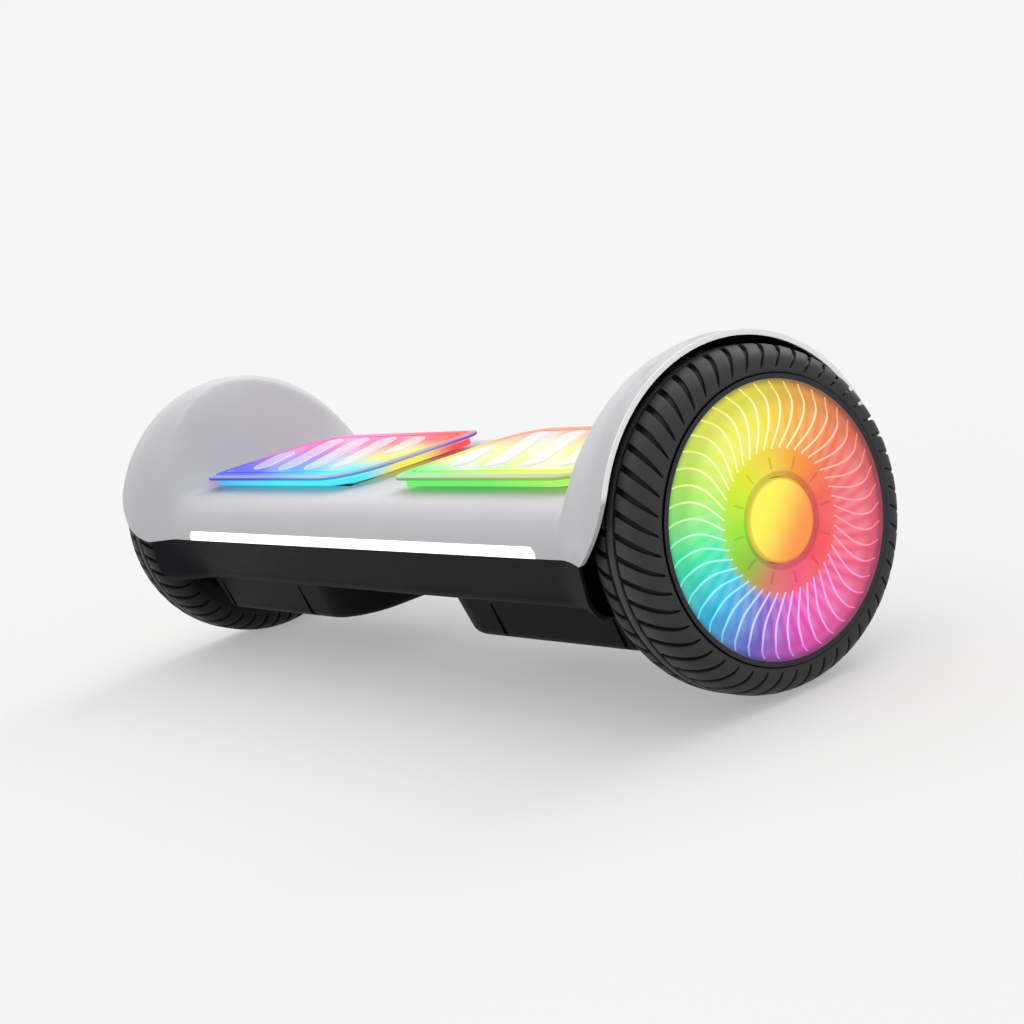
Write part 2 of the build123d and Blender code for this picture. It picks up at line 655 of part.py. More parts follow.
def deck_plate(side):
    """Clear plate with a bevelled border and a fine groove round its window."""
    low = DECK_TOP_Z - PLATE_T
    plate = rounded_slab(DECK_X0, DECK_X1, DECK_DEEP, low, DECK_TOP_Z, DECK_WIDE_R, DECK_TIGHT_R)
    plate = chamfer(plate.edges().group_by(Axis.Z)[-1], 0.9, 4.4)

    def window(rim):
        x0, x1, deep = DECK_X0 + rim, DECK_X1 - rim, DECK_DEEP - 2 * rim
        low, high = DECK_TOP_Z - 0.5, DECK_TOP_Z + 1
        return rounded_slab(x0, x1, deep, low, high, DECK_WIDE_R - rim, DECK_TIGHT_R - rim)

    plate -= window(10.4) - window(11.8)
    return half_turn(plate, side)


def light_guide(side):
    """Lit tray under the plate."""
    low, high = GUIDE_BASE_Z, DECK_TOP_Z - PLATE_T
    guide = rounded_slab(GUIDE_X0, GUIDE_X1, GUIDE_DEEP, low, high, GUIDE_WIDE_R, GUIDE_TIGHT_R)
    guide -= block(BASE_X0 + 6, BASE_X1 - 6, -29, 29, GUIDE_BASE_Z - 1, GUIDE_BASE_Z + 1.6)
    return half_turn(guide, side)


def deck_board(side):
    """Circuit board with the deck's lights and its tilt sensor."""
    board = block(BASE_X0 + 6.5, BASE_X1 - 6.5, -28.5, 28.5, GUIDE_BASE_Z, GUIDE_BASE_Z + 1.5)
    return at_side(board, side)


def deck_base(side):
    """Moulded carrier: a plate under the light guide with two lugs that swing on the pin."""
    low = GUIDE_BASE_Z - 2.6
    base = block(BASE_X0, BASE_X1, -33, 33, low, GUIDE_BASE_Z)
    for x in LUG_X:
        base += block(x - 3, x + 3, -8, 8, ROCK_Z, low + 1) + rod_x(x - 3, x + 3, 8, z=ROCK_Z)
        base -= rod_x(x - 4, x + 4, PIN_R + 0.05, z=ROCK_Z)
    return at_side(base, side)


def grip_bar(x, y, long, turn):
    bar = Pos(x, y, DECK_TOP_Z) * Rot(0, 0, turn) * extrude(SlotOverall(long, GRIP_WIDE), 1.2)
    return chamfer(bar.edges().group_by(Axis.Z)[-1], 0.5)


def deck_grips(side):
    """Raised grip bars that slant across the deck, with a short one at each end."""
    bars = [grip_bar(DECK_MID + step * GRIP_PITCH, 0, 82, -55) for step in (-1, 0, 1)]
    bars.append(grip_bar(DECK_MID - 1.75 * GRIP_PITCH, -14, 44, -55))
    bars.append(grip_bar(DECK_MID + 1.75 * GRIP_PITCH, 14, 44, -55))
    return group([half_turn(b, side) for b in bars])


# ---- electrics ----

def battery_pack():
    pack = block(-212, -106, -34, 34, POD_BASE_Z + 3, TUBE_Z0 - 2)
    return fillet(pack.edges().filter_by(Axis.X), 6)


def heat_sink():
    sink = block(108, 206, -34, 34, POD_BASE_Z + 2.6, POD_BASE_Z + 6)
    for i in range(9):
        x = 112 + 90 * i / 8
        sink += block(x - 1, x + 1, -34, 34, POD_BASE_Z + 5, POD_BASE_Z + 11)
    return sink


def control_board():
    """Motor controller: its board stands on the heat sink's fins."""
    low = POD_BASE_Z + 11
    board = block(104, 208, -35, 35, low, low + 1.6)
    parts = []
    for x, y in ((118, -22), (134, -22), (150, -22)):
        parts.append(rod_z(x, y, low + 1.4, low + 13, 5))
    for i in range(6):
        parts.append(block(170 + 5.4 * i, 173.4 + 5.4 * i, -30, -20, low + 1.4, low + 5))
    parts.append(block(125, 139, 2, 16, low + 1.4, low + 3.4))
    parts.append(block(104, 112, -6, 6, low + 1.4, low + 9))
    parts.append(block(180, 192, 24, 34, low + 1.4, low + 9))
    parts.append(block(150, 162, 24, 34, low + 1.4, low + 9))
    return board + parts


def lead(points, radius, bend):
    """A lead of straight runs joined by tangent arcs."""
    path = FilletPolyline(*points, radius=bend)
    return sweep(Plane(origin=path @ 0, z_dir=path % 0) * Circle(radius), path)


def battery_lead():
    route = [(-106, -28, 46), (-95, -28, 46), (-95, -32, 64), (95, -32, 64), (95, -32, 50)]
    route += [(95, -3, 47), (104, -3, 47)]
    return lead(route, LEAD_R, 4)


def motor_lead(side):
    x = 186 if side > 0 else 156
    end = (x, 29, POD_BASE_Z + 11 + 9)
    top = [(side * 250, 0, AXLE_Z), (side * 174, 0, AXLE_Z), (side * 174, 31, AXLE_Z)]
    if side > 0:
        route = top + [(side * 174, 31, 66), (x, 29, 66), end]
    else:
        route = top + [(-174, 31, 66), (x - 14, 31, 66), (x, 29, 62), end]
    return lead(route, LEAD_R, 4)


def charge_lead():
    start = (REAR_PLACE * Pos(PORT_X, 0, -14.6)).position
    inside = (REAR_PLACE * Pos(PORT_X, 0, -27)).position
    route = [tuple(start), tuple(inside), (-64, 37.2, 66), (-84, 40, 60.9), (-98, 32, 60.8)]
    route += [(-98, 30, 46), (-106, 29.5, 46)]
    return lead(route, 1.8, 3)


def screw_group(places, base_z, top_z, shank, head):
    screws = []
    for x, y in places:
        screw = rod_z(x, y, base_z + 2.0, top_z, shank) + rod_z(x, y, base_z, base_z + 2.2, head)
        screw -= Pos(x, y, base_z) * (Box(0.9, 3.4, 2.0) + Box(3.4, 0.9, 2.0))
        screws.append(screw)
    return group(screws)


def shell_screws():
    return screw_group(SCREWS, FLOOR_Z + 1.0, SEAM_Z + 12, 1.6, 3.2)


def pod_screws():
    places = [(s * x, y) for s in (-1, 1) for x, y in POD_SCREWS]
    return screw_group(places, POD_BASE_Z + 1.0, FLOOR_Z + 1.2, 1.5, 3.0)


def build():
    parts = {
        "top_shell": top_shell(),
        "bottom_shell": bottom_shell(),
        "battery_cover": pod_cover(-1),
        "controller_cover": pod_cover(1),
        "front_light_lens": front_light_lens(),
        "front_light_board": front_light_board(),
        "chassis_frame": chassis_frame(),
        "clamp_bolts": clamp_bolts(),
        "deck_pins": deck_pins(),
        "deck_stops": deck_stops(),
        "charge_port": charge_port(),
        "charge_port_cover": charge_port_cover(),
        "power_button": power_button(),
        "battery_pack": battery_pack(),
        "control_board": control_board(),
        "heat_sink": heat_sink(),
        "battery_lead": battery_lead(),
        "charge_lead": charge_lead(),
        "shell_screws": shell_screws(),
        "pod_screws": pod_screws(),
    }
    per_side = {
        "arch_liner": arch_liner, "axle": axle, "axle_clamp": axle_clamp, "motor_lead": motor_lead,
        "stator": stator,
        "magnet_ring": magnet_ring, "rim": rim, "inner_cover": inner_cover, "cover_screws": cover_screws,
        "bearings": bearings, "tyre": tyre, "light_board": light_board, "light_disc": light_disc,
        "lens": lens, "hub_cap": hub_cap, "deck_plate": deck_plate, "light_guide": light_guide,
        "deck_board": deck_board, "deck_base": deck_base, "deck_grips": deck_grips,
    }
    for name, side in SIDES.items():
        for part, make in per_side.items():
            parts[f"{name}_{part}"] = make(side)
    return parts


os.makedirs("parts", exist_ok=True)
for node, shape in build().items():
    export_step(shape, f"parts/{node}.step")
    print(node, round(shape.volume))
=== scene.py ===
import bpy
import json
import math
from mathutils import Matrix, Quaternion, Vector


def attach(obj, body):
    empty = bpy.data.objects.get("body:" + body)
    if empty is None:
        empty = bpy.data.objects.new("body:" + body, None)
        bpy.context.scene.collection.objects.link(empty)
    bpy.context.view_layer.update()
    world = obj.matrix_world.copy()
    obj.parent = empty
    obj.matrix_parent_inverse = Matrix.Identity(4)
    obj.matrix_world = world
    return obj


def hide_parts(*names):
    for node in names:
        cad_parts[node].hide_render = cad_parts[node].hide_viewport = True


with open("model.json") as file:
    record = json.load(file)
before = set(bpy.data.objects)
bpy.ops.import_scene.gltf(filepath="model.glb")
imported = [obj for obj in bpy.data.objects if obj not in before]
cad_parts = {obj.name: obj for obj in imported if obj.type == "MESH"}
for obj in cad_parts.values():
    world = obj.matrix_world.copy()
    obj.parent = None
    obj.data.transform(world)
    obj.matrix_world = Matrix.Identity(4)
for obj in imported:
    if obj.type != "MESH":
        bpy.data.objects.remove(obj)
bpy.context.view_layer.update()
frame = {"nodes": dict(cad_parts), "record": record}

nodes = frame["nodes"]
axleHeight = 0.084   # the wheels are turned about this height
sideSigns = {"right": 1, "left": -1}   # which way each side lies along X
print("frame loaded,", len(nodes), "nodes")


def paint(red, green, blue):
    # screen values 0 to 255 made into the linear colour that shaders use
    def linear(value):
        value /= 255
        return value / 12.92 if value <= 0.04045 else ((value + 0.055) / 1.055) ** 2.4
    return (linear(red), linear(green), linear(blue), 1.0)


def shade(colour, strength):
    # the same colour, darker or lighter
    return tuple(min(1.0, strength * value) for value in colour[:3]) + (1.0,)


def grey(value):
    return (value, value, value, 1.0)


class Field:
    # a socket that can be used in plain arithmetic
    def __init__(self, finish, socket):
        self.finish = finish
        self.socket = socket

    def __add__(self, other):
        return self.finish.maths("ADD", self, other)

    def __radd__(self, other):
        return self.finish.maths("ADD", other, self)

    def __sub__(self, other):
        return self.finish.maths("SUBTRACT", self, other)

    def __rsub__(self, other):
        return self.finish.maths("SUBTRACT", other, self)

    def __mul__(self, other):
        return self.finish.maths("MULTIPLY", self, other)

    def __rmul__(self, other):
        return self.finish.maths("MULTIPLY", other, self)

    def __truediv__(self, other):
        return self.finish.maths("DIVIDE", self, other)


class Finish:
    # one material: its Principled shader, and the nodes that feed it
    def __init__(self, name, **sockets):
        self.material = bpy.data.materials.new(name)
        self.material.use_nodes = True
        self.tree = self.material.node_tree
        self.shader = self.tree.nodes["Principled BSDF"]
        self.feed(**sockets)

    def node(self, kind, settings=None, inputs=None, output=0):
        made = self.tree.nodes.new(kind)
        for name, value in (settings or {}).items():
            if name == "stops":
                ramp = made.color_ramp
                while len(ramp.elements) < len(value):
                    ramp.elements.new(0.5)
                for element, (position, colour) in zip(ramp.elements, value):
                    element.position = position
                    element.color = colour
            else:
                setattr(made, name, value)
        for name, value in (inputs or {}).items():
            if isinstance(value, Field):
                self.tree.links.new(value.socket, made.inputs[name])
            else:
                made.inputs[name].default_value = value
        return Field(self, made.outputs[output])

    def maths(self, operation, *values):
        return self.node("ShaderNodeMath", {"operation": operation}, dict(enumerate(values)))

    def feed(self, **sockets):
        # Base_Color=..., Roughness=... and so on: a value, or a field to link
        for name, value in sockets.items():
            socket = self.shader.inputs[name.replace("_", " ")]
            if isinstance(value, Field):
                self.tree.links.new(value.socket, socket)
            else:
                socket.default_value = value
        return self

    def place(self):
        return self.node("ShaderNodeTexCoord", output=3)

    def mapped(self, **change):
        # the place on the piece, stretched or turned
        return self.node("ShaderNodeMapping", {"vector_type": "POINT"}, {"Vector": self.place(), **change})

    def axes(self, centre=(0, 0, 0)):
        moved = self.node("ShaderNodeVectorMath", {"operation": "SUBTRACT"}, {0: self.place(), 1: centre})
        return [self.node("ShaderNodeSeparateXYZ", inputs={0: moved}, output=i) for i in range(3)]

    def wheelAxes(self):
        # places along, behind and above the axle, and the distance from it
        x, y, z = self.axes((0, 0, axleHeight))
        return x, y, z, self.maths("SQRT", y * y + z * z)

    def noise(self, scale, detail=2.0, where=None):
        where = where or self.place()
        return self.node("ShaderNodeTexNoise", inputs={"Vector": where, "Scale": scale, "Detail": detail})

    def relief(self, field, height, strength=0.5):
        # a field raises and lowers the surface, with the height in metres
        bumps = {"Strength": strength, "Distance": height, "Height": field}
        return self.feed(Normal=self.node("ShaderNodeBump", inputs=bumps))

    def grain(self, scale, height, strength=0.5):
        # a fine moulded or cast surface
        return self.relief(self.noise(scale, 3.0), height, strength)

    def mix(self, amount, first, second):
        return self.node("ShaderNodeMix", {"data_type": "RGBA", "blend_type": "MIX", "clamp_factor": True},
                         {0: amount, 6: first, 7: second}, output=2)

    def ramp(self, amount, stops):
        return self.node("ShaderNodeValToRGB", {"stops": stops}, {0: amount})

    def smooth(self, value, low, high, before=0.0, after=1.0):
        return self.node("ShaderNodeMapRange", {"interpolation_type": "SMOOTHSTEP"},
                         {0: value, 1: low, 2: high, 3: before, 4: after})


moulding = {"cloudScale": 28, "darker": 0.94, "lighter": 1.04, "sheenScale": 75, "coatRoughness": 0.12}


def plastic(name, colour, roughness=0.45, spread=0.08, grainScale=2600, grainHeight=0.00006, coat=0.0, shine=0.5):
    # moulded plastic: slow cloudiness, a fine eroded grain and an uneven sheen
    made = Finish(name, Coat_Weight=coat, Coat_Roughness=moulding["coatRoughness"], Specular_IOR_Level=shine)
    tone = paint(*colour)
    cloud = made.noise(moulding["cloudScale"], 4.0)
    made.tone = made.mix(cloud, shade(tone, moulding["darker"]), shade(tone, moulding["lighter"]))
    sheen = made.smooth(made.noise(moulding["sheenScale"], 3.0), 0.3, 0.7, roughness - spread / 2,
                        roughness + spread / 2)
    made.feed(Base_Color=made.tone, Roughness=sheen)
    return made.grain(grainScale, grainHeight)


drawing = {"scale": 420, "darker": 0.72, "smoothest": 0.7, "roughest": 1.3, "strength": 0.4}


def metal(name, colour, roughness=0.35, streak=(1, 1, 1), grainHeight=0.00003):
    # machined or plated metal, with drawn marks along one direction
    made = Finish(name, Metallic=1.0)
    tone = paint(*colour)
    marks = made.noise(drawing["scale"], 4.0, made.mapped(Scale=streak))
    sheen = made.smooth(marks, 0.25, 0.75, roughness * drawing["smoothest"], roughness * drawing["roughest"])
    made.feed(Base_Color=made.mix(marks, shade(tone, drawing["darker"]), tone), Roughness=sheen)
    return made.relief(marks, grainHeight, drawing["strength"])


# the finishes take the names of the record's material slots
plastics = {
    "white_shell": {"name": "shellWhite", "colour": (186, 186, 189), "roughness": 0.42, "spread": 0.05,
                    "grainHeight": 0.00002, "coat": 0.02, "shine": 0.12},
    "charcoal_shell": {"name": "shellCharcoal", "colour": (24, 25, 27), "roughness": 0.46, "spread": 0.03,
                       "grainScale": 1900, "grainHeight": 0.00008, "shine": 0.03},
    "pod_plastic": {"name": "podPlastic", "colour": (16, 17, 19), "roughness": 0.42, "spread": 0.03,
                    "grainScale": 1900, "grainHeight": 0.00008, "shine": 0.04},
    "liner_black": {"name": "linerBlack", "colour": (4, 4, 5), "roughness": 0.8, "shine": 0.0},
    "port_black": {"name": "portBlack", "colour": (20, 20, 22), "roughness": 0.4},
    "button_plastic": {"name": "buttonPlastic", "colour": (58, 59, 62), "roughness": 0.32},
    "black_rubber": {"name": "bufferRubber", "colour": (18, 18, 19), "roughness": 0.8,
                     "grainScale": 900, "grainHeight": 0.0001},
    "lead_sheath": {"name": "leadSheath", "colour": (22, 22, 24), "roughness": 0.5},
    "deck_carrier": {"name": "deckCarrier", "colour": (225, 225, 226), "roughness": 0.5}}
metals = {
    "zinc_steel": {"name": "zincSteel", "colour": (190, 192, 198), "roughness": 0.3},
    "frame_steel": {"name": "frameSteel", "colour": (120, 122, 126), "roughness": 0.42, "streak": (0.1, 1, 1)},
    "cast_aluminium": {"name": "castAluminium", "colour": (168, 170, 172), "roughness": 0.5,
                       "grainHeight": 0.00012},
    "rim_aluminium": {"name": "rimAluminium", "colour": (62, 63, 68), "roughness": 0.36},
    "stator_steel": {"name": "statorSteel", "colour": (104, 106, 110), "roughness": 0.4, "streak": (24, 1, 1)},
    "magnet_steel": {"name": "magnetSteel", "colour": (150, 151, 156), "roughness": 0.3},
    "bearing_steel": {"name": "bearingSteel", "colour": (200, 202, 206), "roughness": 0.16},
    "black_screw": {"name": "blackScrew", "colour": (26, 26, 28), "roughness": 0.4}}
finishOf = {slot: plastic(**look) for slot, look in plastics.items()}
finishOf.update({slot: metal(**look) for slot, look in metals.items()})

fenderHighlight = {"ends": (0.2683, 0.2688), "colour": (250, 250, 250), "strength": 0.9, "cloud": 0.1}


def paintFenderHighlight(shell):
    # painted highlight: the edge of the shell round each wheel is painted near white where it catches the light
    x, _, _ = shell.axes()
    onEdge = shell.smooth(shell.maths("ABSOLUTE", x), *fenderHighlight["ends"])
    strength = fenderHighlight["strength"] + fenderHighlight["cloud"] * shell.noise(moulding["cloudScale"])
    shell.feed(Base_Color=shell.mix(onEdge * strength, shell.tone, paint(*fenderHighlight["colour"])))


paintFenderHighlight(finishOf["white_shell"])

boardLook = {"scale": 260.0, "track": 0.018, "lacquer": (14, 74, 46), "lacquerDark": (12, 66, 42),
             "copper": (128, 112, 44)}


def makeCircuitBoard():
    board = Finish("circuitBoard", Roughness=0.4, Coat_Weight=0.3)
    tracks = board.node("ShaderNodeTexBrick", {"offset": 0.37, "squash": 1.6},
                        {"Vector": board.place(), "Scale": boardLook["scale"], "Mortar Size": boardLook["track"],
                         "Color1": paint(*boardLook["lacquer"]), "Color2": paint(*boardLook["lacquerDark"]),
                         "Mortar": paint(*boardLook["copper"])})
    return board.feed(Base_Color=tracks).grain(900, 0.00005)


wrapLook = {"scale": 60, "dark": (22, 60, 132), "light": (40, 92, 176), "creaseHeight": 0.0006}


def makeBatteryWrap():
    wrap = Finish("batteryWrap", Coat_Weight=0.5, Coat_Roughness=0.1)
    creases = wrap.noise(wrapLook["scale"], 5.0)
    wrap.feed(Base_Color=wrap.mix(creases, paint(*wrapLook["dark"]), paint(*wrapLook["light"])),
              Roughness=wrap.smooth(creases, 0.3, 0.7, 0.25, 0.45))
    return wrap.relief(creases, wrapLook["creaseHeight"], 0.6)


finishOf["circuit_board"] = makeCircuitBoard()
finishOf["battery_wrap"] = makeBatteryWrap()
print("plain finishes made")

# "core" is a pair of squared distances from the middle of the bar
lightBar = {"height": 0.0900, "core": (0.0000015, 0.0000095), "coreFade": 0.35, "base": 0.35,
            "body": (235, 236, 238), "dim": (214, 218, 224), "strength": 1.15}


def makeLightBar():
    bar = Finish("lightBar", Base_Color=paint(*lightBar["body"]), Roughness=0.25,
                 Emission_Strength=lightBar["strength"])
    _, _, z = bar.axes((0, 0, lightBar["height"]))
    core = 1 - bar.smooth(z * z, *lightBar["core"], 0.0, lightBar["coreFade"])
    bright = core * bar.noise(40) + lightBar["base"]
    return bar.feed(Emission_Color=bar.mix(bright, paint(*lightBar["dim"]), grey(1.0)))


finishOf["light_bar"] = makeLightBar()

# hues every 30 degrees round the wheel, from the rear over the top
wheelHues = {
    "face": [(240, 98, 114), (242, 116, 84), (243, 168, 66), (244, 234, 66), (240, 244, 92), (180, 243, 98),
             (56, 240, 162), (44, 182, 234), (118, 94, 206), (232, 74, 180), (242, 88, 150), (242, 92, 120)],
    "hub": [(243, 94, 94), (245, 120, 76), (245, 165, 62), (243, 214, 54), (230, 233, 54), (194, 238, 54),
            (154, 228, 60), (148, 188, 62), (216, 122, 108), (242, 92, 126), (244, 88, 100), (244, 90, 92)],
    "rib": [(252, 156, 158), (255, 184, 160), (254, 244, 176), (252, 250, 188), (248, 252, 160), (248, 252, 162),
            (168, 252, 232), (114, 250, 252), (224, 190, 250), (250, 168, 247), (252, 154, 232), (254, 148, 176)]}
# pairs are the radii between which something begins or ends
wheelGlow = {"hub": (0.0330, 0.0400), "edge": (0.0500, 0.0600), "ring": (0.0625, 0.0668),
             "ribTip": (0.0540, 0.0650), "ribTipTint": 0.6, "hubGroove": (0.0232, 0.0238), "grooveShade": 0.26,
             "beams": 45, "beamLean": 260, "beamStart": (0.0330, 0.0380), "beamEnd": (0.0540, 0.0600),
             "beamRest": 0.25, "beamStrength": 0.10, "edgeDull": 0.20, "ringDull": 0.62,
             "dull": (40, 40, 30), "ringTone": (60, 56, 74), "markTone": (60, 50, 10), "markDull": 0.22,
             "markCloud": 0.08, "faceCloud": 0.05}


def turnRamp(finish, hues, y, z):
    # colour by the angle about the axle, 0 at the rear and a quarter turn at the top
    angle = finish.maths("ARCTAN2", z, y) / (2 * math.pi)
    stops = [(i / len(hues), paint(*hue)) for i, hue in enumerate(hues + hues[:1])]
    return finish.ramp(finish.maths("FRACT", angle + 1), stops)


def makeWheelLight(name, part="face"):
    # the lit face of a wheel: hue by angle, a warm middle, a dull edge under the ring
    made = Finish(name, Roughness=0.32, Specular_IOR_Level=0.02, Emission_Strength=1.0)
    _, y, z, radius = made.wheelAxes()
    hue = made.mix(made.smooth(radius, *wheelGlow["hub"], 1.0, 0.0),
                   turnRamp(made, wheelHues["face"], y, z), turnRamp(made, wheelHues["hub"], y, z))
    if part == "rib":
        tip = made.smooth(radius, *wheelGlow["ribTip"], 0.0, wheelGlow["ribTipTint"])
        made.feed(Emission_Color=made.mix(tip, turnRamp(made, wheelHues["rib"], y, z), hue),
                  Base_Color=made.mix(made.smooth(radius, *wheelGlow["edge"]), grey(0.05), grey(0.02)))
    elif part == "mark":
        dull = wheelGlow["markDull"] + wheelGlow["markCloud"] * made.noise(200)
        made.feed(Emission_Color=made.mix(dull, hue, paint(*wheelGlow["markTone"])), Base_Color=grey(0.02))
    else:
        # the light gathers in soft beams that lean like the ribs
        wave = made.maths("ARCTAN2", z, y) * wheelGlow["beams"] - radius * wheelGlow["beamLean"]
        beams = (made.maths("SINE", wave) * 0.5 + 0.5) * made.smooth(radius, *wheelGlow["beamStart"])
        beams = beams * made.smooth(radius, *wheelGlow["beamEnd"], 1.0, wheelGlow["beamRest"])
        cloud = made.smooth(made.noise(70, 3.0), 0.35, 0.75, 0.0, wheelGlow["faceCloud"])
        lit = made.mix(cloud + beams * wheelGlow["beamStrength"], hue, grey(1.0))
        # painted shade: the glow is dimmed in the groove round the hub cap
        groove = made.smooth(radius, *wheelGlow["hubGroove"], wheelGlow["grooveShade"], 0.0)
        edge = made.smooth(radius, *wheelGlow["edge"])
        dulled = made.mix(edge * wheelGlow["edgeDull"] + groove, lit, paint(*wheelGlow["dull"]))
        ring = made.smooth(radius, *wheelGlow["ring"])
        made.feed(Emission_Color=made.mix(ring * wheelGlow["ringDull"], dulled, paint(*wheelGlow["ringTone"])),
                  Base_Color=grey(0.01))
    return made.grain(1500, 0.00002)


capLook = {"low": (247, 142, 66), "high": (250, 244, 84), "edge": (150, 84, 20), "edgeRadii": (0.0186, 0.0202),
           "edgeStrength": 0.45, "slope": (-0.018, 0.016), "upward": 0.75, "forward": 0.85}


def makeCapGlow():
    # the hub cap glows from orange at its lower rear to yellow at its upper front
    cap = Finish("capGlow", Roughness=0.28, Coat_Weight=0.15, Coat_Roughness=0.06, Specular_IOR_Level=0.2,
                 Emission_Strength=1.0, Base_Color=(0.02, 0.02, 0.01, 1.0))
    _, y, z, radius = cap.wheelAxes()
    slope = cap.smooth(z * capLook["upward"] - y * capLook["forward"], *capLook["slope"])
    hue = cap.mix(slope, paint(*capLook["low"]), paint(*capLook["high"]))
    edge = cap.smooth(radius, *capLook["edgeRadii"], 0.0, capLook["edgeStrength"])
    return cap.feed(Emission_Color=cap.mix(edge, hue, paint(*capLook["edge"]))).grain(1500, 0.00002)


faceLight = makeWheelLight("wheelGlow")
ribLight = makeWheelLight("ribGlow", "rib")
markLight = makeWheelLight("markGlow", "mark")
finishOf.update({"wheel_light": faceLight, "clear_lens": faceLight, "cap_light": makeCapGlow()})
print("wheel lights made")

# metres; the pairs are places between which something begins or ends: depths inside the plate's outline,
# heights, or places along or across the deck
deck = {"inner": 0.023, "outer": 0.2135, "deep": 0.103, "wideCorner": 0.032, "tightCorner": 0.016,
        "lip": (0.0012, 0.0004), "bevel": (0.0050, 0.0044), "grooveOut": (0.0107, 0.0104),
        "grooveIn": (0.0118, 0.0115), "window": (0.0122, 0.0118), "top": 0.1211,
        "gripRim": (0.0004, 0.0011), "guideTop": (0.1168, 0.1188), "plateSpan": (0.040, 0.170),
        "guideSpan": (0.100, 0.290), "frontToBack": (-0.040, 0.035), "beltFront": (-0.036, -0.006),
        "beltBack": (0.000, 0.030), "beltInner": (0.030, 0.110),
        "streakTurn": 38, "streakScale": 7.0, "streakWaver": 0.8, "streakEnds": (0.45, 0.95), "grooveDark": 0.55,
        "bevelReflection": 0.84, "lipStrength": 0.92, "lipTint": 0.35, "grooveTone": (70, 90, 110),
        "body": (16, 16, 18), "bevelBody": (70, 72, 76), "opaque": (0.92, 0.97),
        "guideWhite": (0.05, 0.60), "guideSteady": 0.7, "guideCloud": 0.3,
        "gripBody": ((92, 94, 98), (110, 110, 114)), "gripRimWhite": 0.95, "gripFrost": (250, 250, 252)}
deckSides = {   # the corners of each deck's colour field, and what else differs between the decks
    "left": {"frontOuter": (58, 84, 236), "frontInner": (46, 232, 250), "backOuter": (246, 110, 190),
             "backInner": (250, 56, 58), "belt": (250, 236, 70), "beltRest": 0.0, "streaks": (0.0, 0.16),
             "clear": (150, 158, 186), "lip": (40, 60, 210), "gripWhite": 0.40},
    "right": {"frontOuter": (232, 250, 60), "frontInner": (90, 240, 96), "backOuter": (250, 150, 120),
              "backInner": (252, 150, 110), "belt": (250, 232, 90), "beltRest": 0.8, "streaks": (0.25, 0.55),
              "clear": (176, 186, 160), "lip": (86, 140, 20), "gripWhite": 0.70}}


def deckHue(finish, side, span="plateSpan"):
    # a smooth field over the deck: first along the deck, then from front to back
    x, y, _ = finish.axes()
    look = deckSides[side]
    along = x * sideSigns[side]
    outward = finish.smooth(along, *deck[span])
    front = finish.mix(outward, paint(*look["frontInner"]), paint(*look["frontOuter"]))
    back = finish.mix(outward, paint(*look["backInner"]), paint(*look["backOuter"]))
    field = finish.mix(finish.smooth(y, *deck["frontToBack"]), front, back)
    belt = finish.smooth(y, *deck["beltFront"]) * finish.smooth(y, *deck["beltBack"], 1.0, 0.0)
    inward = finish.smooth(along, *deck["beltInner"], 1.0, look["beltRest"])
    return finish.mix(belt * inward, field, paint(*look["belt"]))


def borderDistance(finish, side):
    # how far a point lies outside (+) or inside (-) the plate's outline, whose corners differ in turn
    x, y, _ = finish.axes(((deck["inner"] + deck["outer"]) / 2 * sideSigns[side], 0, 0))
    tight = finish.maths("GREATER_THAN", x * y, 0.0)
    corner = tight * (deck["tightCorner"] - deck["wideCorner"]) + deck["wideCorner"]
    outX = finish.maths("ABSOLUTE", x) - (deck["outer"] - deck["inner"]) / 2
    outY = finish.maths("ABSOLUTE", y) - deck["deep"] / 2
    acrossX = finish.maths("MAXIMUM", outX + corner, 0.0)
    acrossY = finish.maths("MAXIMUM", outY + corner, 0.0)
    rounded = finish.maths("SQRT", acrossX * acrossX + acrossY * acrossY) - corner
    # away from the corners the nearer side counts
    return finish.maths("MAXIMUM", rounded, finish.maths("MAXIMUM", outX, outY))


def makeGuideGlow(side):
    # the light guide under the plate, brightest where it meets it
    guide = Finish(side + "GuideGlow", Roughness=0.35, Specular_IOR_Level=0.05, Base_Color=grey(0.03),
                   Emission_Strength=1.0)
    _, _, z = guide.axes()
    steady = deck["guideSteady"] + deck["guideCloud"] * guide.noise(120)
    bright = guide.smooth(z, *deck["guideTop"], *deck["guideWhite"]) * steady
    guide.feed(Emission_Color=guide.mix(bright, deckHue(guide, side, "guideSpan"), grey(1.0)))
    return guide.grain(800, 0.00003)


